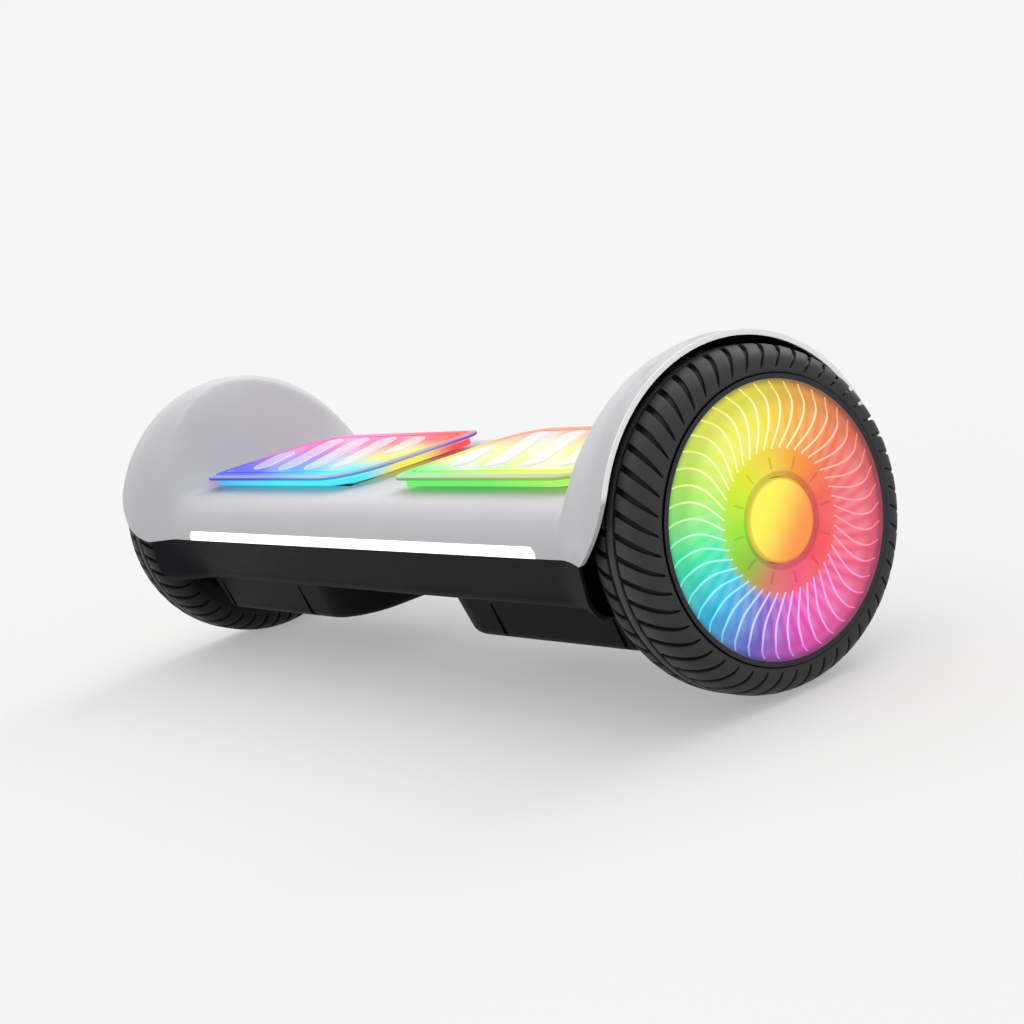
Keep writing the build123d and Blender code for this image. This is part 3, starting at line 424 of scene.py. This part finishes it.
def makeDeckClear(side):
    look = deckSides[side]
    plate = Finish(side + "DeckClear", Roughness=0.15, Specular_IOR_Level=0.02, Emission_Strength=0.95)
    edge = borderDistance(plate, side)
    hue = deckHue(plate, side)

    def outwards(depths, before=0.0, after=1.0):
        return plate.smooth(edge, -depths[0], -depths[1], before, after)

    lip, bevel = outwards(deck["lip"]), outwards(deck["bevel"])
    groove = outwards(deck["grooveIn"]) - outwards(deck["grooveOut"])
    # thin streaks of light run aslant under the window
    streak = plate.node("ShaderNodeTexWave", {"wave_type": "BANDS", "bands_direction": "Y"},
                        {"Vector": plate.mapped(Rotation=(0, 0, math.radians(deck["streakTurn"]))),
                         "Scale": deck["streakScale"], "Distortion": deck["streakWaver"], "Detail": 1.0})
    streaked = plate.mix(plate.smooth(streak, *deck["streakEnds"], *look["streaks"]), hue, grey(1.0))
    lit = plate.mix(outwards(deck["window"], 1.0, 0.0), hue, streaked)
    lined = plate.mix(groove * deck["grooveDark"], lit, paint(*deck["grooveTone"]))
    # painted reflection: the bevel round the plate glows a pale grey and has a lighter body colour, standing in for
    # what it reflects
    withBevelReflection = plate.mix(bevel * deck["bevelReflection"], lined, paint(*look["clear"]))
    sideTint = plate.mix(deck["lipTint"], paint(*look["lip"]), hue)
    plate.feed(Emission_Color=plate.mix(lip * deck["lipStrength"], withBevelReflection, sideTint),
               Base_Color=plate.mix(bevel - lip, paint(*deck["body"]), paint(*deck["bevelBody"])),
               Alpha=plate.smooth(plate.noise(30), 0.3, 0.7, *deck["opaque"]))
    return plate.grain(300, 0.00002, 0.3)


def makeGripClear(side):
    # the frosted bars let the colour through and are whitest at their rims
    grip = Finish(side + "GripClear", Roughness=0.3, Specular_IOR_Level=0.06, Emission_Strength=0.75)
    _, _, z = grip.axes((0, 0, deck["top"]))
    whiteness = grip.smooth(z, *deck["gripRim"], deck["gripRimWhite"], deckSides[side]["gripWhite"])
    dark, light = deck["gripBody"]
    grip.feed(Base_Color=grip.mix(grip.noise(500, 3.0), paint(*dark), paint(*light)),
              Emission_Color=grip.mix(whiteness, deckHue(grip, side), paint(*deck["gripFrost"])))
    return grip.grain(1800, 0.00008)


deckFinishOf = {side: {"deck_light": makeGuideGlow(side), "clear_deck": makeDeckClear(side),
                       "clear_grip": makeGripClear(side)} for side in deckSides}
print("deck lights made")

# deep is the colour of the painted shade in the cuts and of the painted shadow towards the shell
rubber = {"dark": (38, 38, 40), "light": (70, 70, 72), "deep": (5, 5, 6), "wear": (0.0815, 0.0842),
          "archShadowSpan": (0.2560, 0.2640), "archShadowDark": 0.8, "cutShadeDark": 0.95, "dust": 0.5, "wearPale": 0.25,
          "sheen": (0.42, 0.62)}


def makeTyreRubber():
    # dusty and paler where it is worn; painted shade darkens its cuts, and a painted shadow darkens it towards the
    # shell
    made = Finish("tyreRubber", Specular_IOR_Level=0.22)
    x, _, _, radius = made.wheelAxes()
    wear = made.smooth(radius, *rubber["wear"])
    dust = made.noise(35, 5.0) * 0.6 + made.noise(320, 3.0) * 0.4
    # painted shadow: darker towards the shell, where the arch shades the tyre
    inward = made.smooth(made.maths("ABSOLUTE", x), *rubber["archShadowSpan"], 1.0, 0.0)
    # painted shade: the tread's cuts are darkened
    cut = made.node("ShaderNodeAttribute", {"attribute_name": "groove"}, output=2)
    dark = made.maths("MAXIMUM", inward * rubber["archShadowDark"], cut * rubber["cutShadeDark"])
    pale = dust * rubber["dust"] + wear * rubber["wearPale"]
    tread = made.mix(pale, paint(*rubber["dark"]), paint(*rubber["light"]))
    made.feed(Base_Color=made.mix(dark, tread, paint(*rubber["deep"])),
              Roughness=made.smooth(dust, 0.3, 0.7, *rubber["sheen"]))
    return made.grain(1400, 0.00009, 0.6)


finishOf["tyre_rubber"] = makeTyreRubber()
print("rubber made")


def share(value, start, end):
    # how far a value has come from start to end, from 0 to 1
    return min(1.0, max(0.0, (value - start) / (end - start)))


def radiusOf(point):
    return math.hypot(point.y, point.z - axleHeight)


def deselectAll():
    for thing in list(bpy.context.selected_objects):
        thing.select_set(False)


def selectOnly(piece):
    deselectAll()
    piece.select_set(True)
    bpy.context.view_layer.objects.active = piece


def startShape(primitive, name, **settings):
    # adds one primitive and opens it for editing
    deselectAll()
    primitive(**settings)
    piece = bpy.context.object
    piece.name = piece.data.name = name
    bpy.ops.object.transform_apply(location=True, rotation=True, scale=True)
    bpy.ops.object.mode_set(mode="EDIT")
    return piece


def pickFaces(piece, test):
    # selects the faces whose middle passes the test
    bpy.ops.mesh.select_mode(type="FACE")
    bpy.ops.mesh.select_all(action="DESELECT")
    bpy.ops.object.mode_set(mode="OBJECT")
    for face in piece.data.polygons:
        face.select = test(face.center)
    bpy.ops.object.mode_set(mode="EDIT")


def drawOutline(name, points):
    # a chain of edges in the plane y = 0, drawn by pulling one vertex from point to point
    startX, startRadius = points[0]
    piece = startShape(bpy.ops.mesh.primitive_plane_add, name, size=0.0001,
                       location=(startX, 0, axleHeight + startRadius))
    bpy.ops.mesh.select_mode(type="VERT")
    bpy.ops.mesh.select_all(action="SELECT")
    bpy.ops.mesh.merge(type="CENTER")
    for (x0, r0), (x1, r1) in zip(points, points[1:]):
        bpy.ops.mesh.extrude_region_move(TRANSFORM_OT_translate={"value": (x1 - x0, 0, r1 - r0)})
    bpy.ops.mesh.select_all(action="SELECT")
    return piece


def turnShape(angle, steps):
    bpy.ops.mesh.spin(steps=steps, angle=angle, center=(0, 0, axleHeight), axis=(1, 0, 0))


def closeShape(merge=0.00001):
    bpy.ops.mesh.select_all(action="SELECT")
    bpy.ops.mesh.remove_doubles(threshold=merge)
    bpy.ops.mesh.normals_make_consistent(inside=False)
    bpy.ops.object.mode_set(mode="OBJECT")


def roundEdges(piece, width, degrees):
    # bevels what is sharper than the angle
    modifier = piece.modifiers.new("roundEdges", "BEVEL")
    modifier.width = width
    modifier.segments = 2
    modifier.limit_method = "ANGLE"
    modifier.angle_limit = math.radians(degrees)
    selectOnly(piece)
    bpy.ops.object.modifier_apply(modifier=modifier.name)


def smoothShape(piece, degrees):
    selectOnly(piece)
    bpy.ops.object.shade_smooth_by_angle(angle=math.radians(degrees))


def copyOf(piece):
    copy = piece.copy()
    copy.data = piece.data.copy()
    bpy.context.scene.collection.objects.link(copy)
    return copy


def ringOfCopies(piece, count):
    # copies a piece round the axle and joins all the copies
    copies = [piece]
    for i in range(1, count):
        copy = copyOf(piece)
        turn = 2 * math.pi * i / count
        for vertex in copy.data.vertices:
            y, z = vertex.co.y, vertex.co.z - axleHeight
            vertex.co.y = y * math.cos(turn) - z * math.sin(turn)
            vertex.co.z = axleHeight + y * math.sin(turn) + z * math.cos(turn)
        copies.append(copy)
    selectOnly(piece)
    for copy in copies:
        copy.select_set(True)
    bpy.ops.object.join()


def otherSide(piece):
    # the left wheel is the right one turned round to face the other way
    copy = copyOf(piece)
    copy.name = copy.data.name = piece.name.replace("right", "left")
    for vertex in copy.data.vertices:
        vertex.co.x, vertex.co.y = -vertex.co.x, -vertex.co.y
    return copy


def dress(piece, finish):
    piece.data.materials.clear()
    piece.data.materials.append(finish.material)


# metres and degrees; "seat" is the part of the section that sits on the rim, as (x, radius)
tyre = {"blocks": 50, "middleX": 0.2652, "crown": 0.0840, "crownReach": 0.0056, "ribOffset": 0.0032,
        "ribHalf": 0.0011, "flankReach": 0.0218, "flankRadius": 0.0736, "ringRadius": 0.0718,
        "lipRadius": 0.0703, "lipEnd": 0.0696, "lipRound": 0.0004,
        "seat": [(0.2434, 0.0640), (0.2440, 0.0620), (0.2462, 0.0582), (0.2780, 0.0581), (0.2784, 0.0670),
                 (0.2804, 0.0690)], "seatTop": 0.0692,
        "cutAtCrown": 2.2, "cutAtRing": 0.6, "cutTaper": 0.8, "slant": 7.8, "slantOut": 0.60, "slantDown": 0.40,
        "depth": 0.0022, "grooveHalf": 0.0010, "grooveFrom": 0.0830, "bevel": 0.00035, "bevelAngle": 38,
        "smoothAngle": 40, "merge": 0.00002}


def tyreSection():
    # one side of the section: the edge of the groove, the rounded shoulder and the flank
    reach = tyre["flankReach"]
    section = [(tyre["ribOffset"] + tyre["ribHalf"], tyre["crown"])]
    for i in range(11):
        turn = math.pi / 2 * (1 - i / 10)
        section.append((tyre["crownReach"] + (reach - tyre["crownReach"]) * math.cos(turn),
                        tyre["flankRadius"] + (tyre["crown"] - tyre["flankRadius"]) * math.sin(turn)))
    return section + [(reach, tyre["ringRadius"]), (reach, tyre["lipRadius"]),
                      (reach - tyre["lipRound"], tyre["lipEnd"])]


def tyreOutline():
    side = tyreSection()
    middle, crownHalf = tyre["middleX"], tyre["ribOffset"] - tyre["ribHalf"]
    outer = [(middle + x, r) for x, r in side[::-1]]
    inner = [(middle - x, r) for x, r in side]
    crown = [(middle + crownHalf, tyre["crown"]), (middle - crownHalf, tyre["crown"])]
    return outer + crown + inner + tyre["seat"] + [outer[0]]


def treadTurn(x, radius):
    # how far the tread's cuts have swung round, in degrees, from the ring on the outside to the inner flank
    if radius < tyre["seatTop"]:
        return tyre["slant"] * 2 * share(x, tyre["seat"][-1][0], tyre["seat"][0][0])
    offset = x - tyre["middleX"]
    down = share(radius, tyre["crown"], tyre["ringRadius"])
    out = share(abs(offset), tyre["ribOffset"], tyre["flankReach"])
    swing = 1 - (tyre["slantOut"] * out + tyre["slantDown"] * down)
    return tyre["slant"] * (swing if offset > 0 else 2 - swing)


def makeTyre():
    # one block of tread and the cut beside it, copied round the axle
    pitch = 2 * math.pi / tyre["blocks"]
    piece = drawOutline("rightTyre", tyreOutline())
    turnShape(pitch, 4)
    closeShape()

    def turnOf(point):
        return abs(math.atan2(point.y, point.z - axleHeight))

    def isCut(point):
        offset, radius = abs(point.x - tyre["middleX"]), radiusOf(point)
        inGroove = abs(offset - tyre["ribOffset"]) < tyre["grooveHalf"] and radius > tyre["grooveFrom"]
        inTread = radius > tyre["ringRadius"] and offset > tyre["ribOffset"]
        return inGroove or (inTread and turnOf(point) < pitch / 4)

    bpy.ops.object.mode_set(mode="EDIT")
    pickFaces(piece, isCut)
    bpy.ops.object.mode_set(mode="OBJECT")
    for vertex in piece.data.vertices:
        # the first of the four columns becomes the narrow cut, and all lean with the tread
        radius = radiusOf(vertex.co)
        wide = share(radius, tyre["ringRadius"], tyre["crown"]) ** tyre["cutTaper"]
        cut = math.radians(tyre["cutAtRing"] + (tyre["cutAtCrown"] - tyre["cutAtRing"]) * wide)
        column = round(turnOf(vertex.co) / (pitch / 4))
        turn = [0, cut, cut + (pitch - cut) / 3, cut + (pitch - cut) * 2 / 3, pitch][column]
        turn += math.radians(treadTurn(vertex.co.x, radius))
        vertex.co.y, vertex.co.z = radius * math.sin(turn), axleHeight + radius * math.cos(turn)
    bpy.ops.object.mode_set(mode="EDIT")
    bpy.ops.mesh.normals_make_consistent(inside=False)
    bpy.ops.mesh.extrude_region_shrink_fatten(TRANSFORM_OT_shrink_fatten={"value": -tyre["depth"]})
    bpy.ops.object.mode_set(mode="OBJECT")
    # the rubber is told what lies in the cuts, which it paints darker as shade
    depth = piece.data.attributes.new("groove", "FLOAT", "POINT")
    for vertex, mark in zip(piece.data.vertices, depth.data):
        mark.value = 1.0 if vertex.select else 0.0
    ringOfCopies(piece, tyre["blocks"])
    bpy.ops.object.mode_set(mode="EDIT")
    closeShape(tyre["merge"])
    roundEdges(piece, tyre["bevel"], tyre["bevelAngle"])
    smoothShape(piece, tyre["smoothAngle"])
    return piece


tyres = {"right": makeTyre()}
tyres["left"] = otherSide(tyres["right"])
for side, piece in tyres.items():
    dress(piece, finishOf["tyre_rubber"])
    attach(piece, side + "_wheel")
    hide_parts(side + "_tyre")
print("tyres made,", len(tyres["right"].data.polygons), "faces each")

# metres; "level" is the section of the lit face as (radius, x), and the lists beside it are its hub and outer edges
wheelFace = {"thickness": 0.0009, "steps": 144, "backRadii": (0.0212, 0.0664), "smoothAngle": 40,
             "hubEdge": [(0.2868, 0.0206), (0.2876, 0.0208), (0.2878, 0.0226), (0.2889, 0.0235)],
             "level": [(0.0240, 0.2893), (0.0300, 0.2893), (0.0316, 0.2890), (0.0330, 0.2880), (0.0350, 0.2876),
                       (0.0440, 0.2880), (0.0540, 0.2879), (0.0575, 0.2876), (0.0600, 0.2868), (0.0620, 0.2858),
                       (0.0640, 0.2856), (0.0662, 0.2856)],
             "outerEdge": [(0.2868, 0.0664), (0.2875, 0.0666), (0.2868, 0.0667)]}


def levelAt(radius):
    # the x of the lit face at one radius
    for (r0, x0), (r1, x1) in zip(wheelFace["level"], wheelFace["level"][1:]):
        if radius <= r1:
            return x0 + (x1 - x0) * share(radius, r0, r1)
    return wheelFace["level"][-1][1]


def makeFace():
    inside, outside = wheelFace["backRadii"]
    front = wheelFace["hubEdge"] + [(x, r) for r, x in wheelFace["level"]] + wheelFace["outerEdge"]
    back = [(x - wheelFace["thickness"], r) for x, r in front[::-1] if inside < r < outside]
    piece = drawOutline("rightWheelFace", front + back + [front[0]])
    turnShape(2 * math.pi, wheelFace["steps"])
    closeShape()
    smoothShape(piece, wheelFace["smoothAngle"])
    return piece


# metres and degrees; each rib runs out from the hub and leans further the further it is from its bend
rib = {"count": 45, "inner": 0.0345, "bend": 0.052, "outer": 0.0652, "leanInner": 8.5, "leanOuter": 4.5,
       "start": 90, "width": 0.0009, "height": 0.0006, "sunk": 0.0004, "steps": 14, "bevel": 0.00022,
       "taperFrom": 0.0340, "taperTo": 0.0664, "taperLength": 0.006, "taperEnd": 0.45, "sharpAngle": 50,
       "merge": 0.000005}


def ribPoint(radius):
    inside = radius < rib["bend"]
    span = rib["inner" if inside else "outer"] - rib["bend"]
    lean = rib["leanInner" if inside else "leanOuter"]
    turn = math.radians(rib["start"] + lean * ((radius - rib["bend"]) / span) ** 2)
    return Vector((levelAt(radius), radius * math.cos(turn), axleHeight + radius * math.sin(turn)))


def makeRibs():
    # one curved rib, pulled out of a small block from the hub to the edge, then copied round
    length = rib["outer"] - rib["inner"]
    path = [ribPoint(rib["inner"] + length * i / rib["steps"]) for i in range(rib["steps"] + 1)]
    piece = startShape(bpy.ops.mesh.primitive_cube_add, "rightWheelRibs", size=rib["width"], location=path[0])
    pickFaces(piece, lambda middle: middle.z > path[0].z + rib["width"] * 0.4)   # its outward face
    for before, after in zip(path, path[1:]):
        bpy.ops.mesh.extrude_region_move(TRANSFORM_OT_translate={"value": after - before})
    bpy.ops.object.mode_set(mode="OBJECT")
    for vertex in piece.data.vertices:
        radius = radiusOf(vertex.co)
        level = levelAt(min(radius, rib["outer"]))
        fromEnds = min(radius - rib["taperFrom"], rib["taperTo"] - radius)
        high = rib["height"] * (rib["taperEnd"] + (1 - rib["taperEnd"]) * min(1.0, fromEnds / rib["taperLength"]))
        vertex.co.x = level + high if vertex.co.x > level else level - rib["sunk"]
    ringOfCopies(piece, rib["count"])
    bpy.ops.object.mode_set(mode="EDIT")
    closeShape(rib["merge"])
    roundEdges(piece, rib["bevel"], rib["sharpAngle"])
    smoothShape(piece, rib["sharpAngle"])
    return piece


# metres; short radial bars moulded round the hub
hubMark = {"count": 12, "x": 0.2893, "radius": 0.0278, "size": (0.0010, 0.0009, 0.0060), "frontX": 0.2896,
           "inset": 0.0002, "sunk": 0.0001, "bevel": 0.00015, "sharpAngle": 50}


def makeMarks():
    piece = startShape(bpy.ops.mesh.primitive_cube_add, "rightHubMarks", size=1.0, scale=hubMark["size"],
                       location=(hubMark["x"], 0, axleHeight + hubMark["radius"]))
    pickFaces(piece, lambda middle: middle.x > hubMark["frontX"])
    bpy.ops.mesh.inset(thickness=hubMark["inset"], depth=-hubMark["sunk"])
    bpy.ops.object.mode_set(mode="OBJECT")
    ringOfCopies(piece, hubMark["count"])
    roundEdges(piece, hubMark["bevel"], hubMark["sharpAngle"])
    smoothShape(piece, hubMark["sharpAngle"])
    return piece


rightFace = makeFace()
for right, finish in ((rightFace, faceLight), (makeRibs(), ribLight), (makeMarks(), markLight)):
    dress(right, finish)
    for side, piece in (("right", right), ("left", otherSide(right))):
        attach(piece, side + "_wheel")
        if right is rightFace:
            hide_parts(side + "_lens")
print("wheel faces made")

slotOf = {part["node"]: part["material_slot"] for part in frame["record"]["subparts"]}
for name, node in nodes.items():
    ownSide = deckFinishOf["left" if name.startswith("left") else "right"]
    dress(node, ownSide.get(slotOf[name]) or finishOf[slotOf[name]])
print("CAD nodes finished")

studio = {"floorSize": 400, "floorLevel": -0.0004, "floor": (170, 170, 170), "cloudiness": 1.006,
          "floorGlow": 0.3385, "world": 0.9216}
suns = {"overhead": {"towards": (-0.1, 0.25, 1.0), "power": 0.9, "spread": 75},
        "back": {"towards": (-0.2, 1.3, 1.0), "power": 0.9, "spread": 40},
        "side": {"towards": (-1.0, 0.2, 0.6), "power": 0.5, "spread": 50}}
view = {"azimuth": 57.326, "elevation": 10.074, "roll": -13.987, "distance": 1.16469,
        "target": (0.062485, 0, 0.085128), "lens": 73.094, "sensor": 36, "nearest": 0.01, "farthest": 200}


def makeFloor():
    finish = Finish("studioFloor", Roughness=0.9, Specular_IOR_Level=0.0, Emission_Color=(1, 1, 1, 1),
                    Emission_Strength=studio["floorGlow"])
    pale = paint(*studio["floor"])
    finish.feed(Base_Color=finish.mix(finish.noise(3), pale, shade(pale, studio["cloudiness"])))
    deselectAll()
    bpy.ops.mesh.primitive_plane_add(size=studio["floorSize"], location=(0, 0, studio["floorLevel"]))
    floor = bpy.context.object
    floor.name = "studioFloor"
    bpy.ops.object.transform_apply(location=True, rotation=True, scale=True)
    dress(floor, finish)


def makeWorld():
    world = bpy.data.worlds.new("studioWorld")
    bpy.context.scene.world = world
    world.use_nodes = True
    background = world.node_tree.nodes["Background"]
    background.inputs["Color"].default_value = grey(1.0)
    background.inputs["Strength"].default_value = studio["world"]


def makeSun(name, towards, power, spread):
    data = bpy.data.lights.new(name, "SUN")
    data.energy, data.angle = power, math.radians(spread)
    light = bpy.data.objects.new(name, data)
    light.rotation_euler = Vector(towards).to_track_quat("Z", "Y").to_euler()
    bpy.context.scene.collection.objects.link(light)


def makeCamera():
    # it looks at the target from its azimuth and elevation, and is rolled about the line of sight
    azimuth, elevation = math.radians(view["azimuth"]), math.radians(view["elevation"])
    back = Vector((math.sin(azimuth) * math.cos(elevation), -math.cos(azimuth) * math.cos(elevation),
                   math.sin(elevation)))
    camera = bpy.data.objects.new("camera", bpy.data.cameras.new("camera"))
    bpy.context.scene.collection.objects.link(camera)
    camera.location = Vector(view["target"]) + back * view["distance"]
    camera.rotation_mode = "QUATERNION"
    roll = Quaternion((0, 0, 1), math.radians(view["roll"]))
    camera.rotation_quaternion = (-back).to_track_quat("-Z", "Y") @ roll
    camera.data.sensor_width = view["sensor"]
    camera.data.lens = view["lens"]
    camera.data.clip_start, camera.data.clip_end = view["nearest"], view["farthest"]
    return camera


makeFloor()
makeWorld()
for name, sun in suns.items():
    makeSun(name + "Sun", **sun)
bpy.context.scene.camera = makeCamera()
bpy.context.scene.view_settings.view_transform = "Standard"
print("stage set")
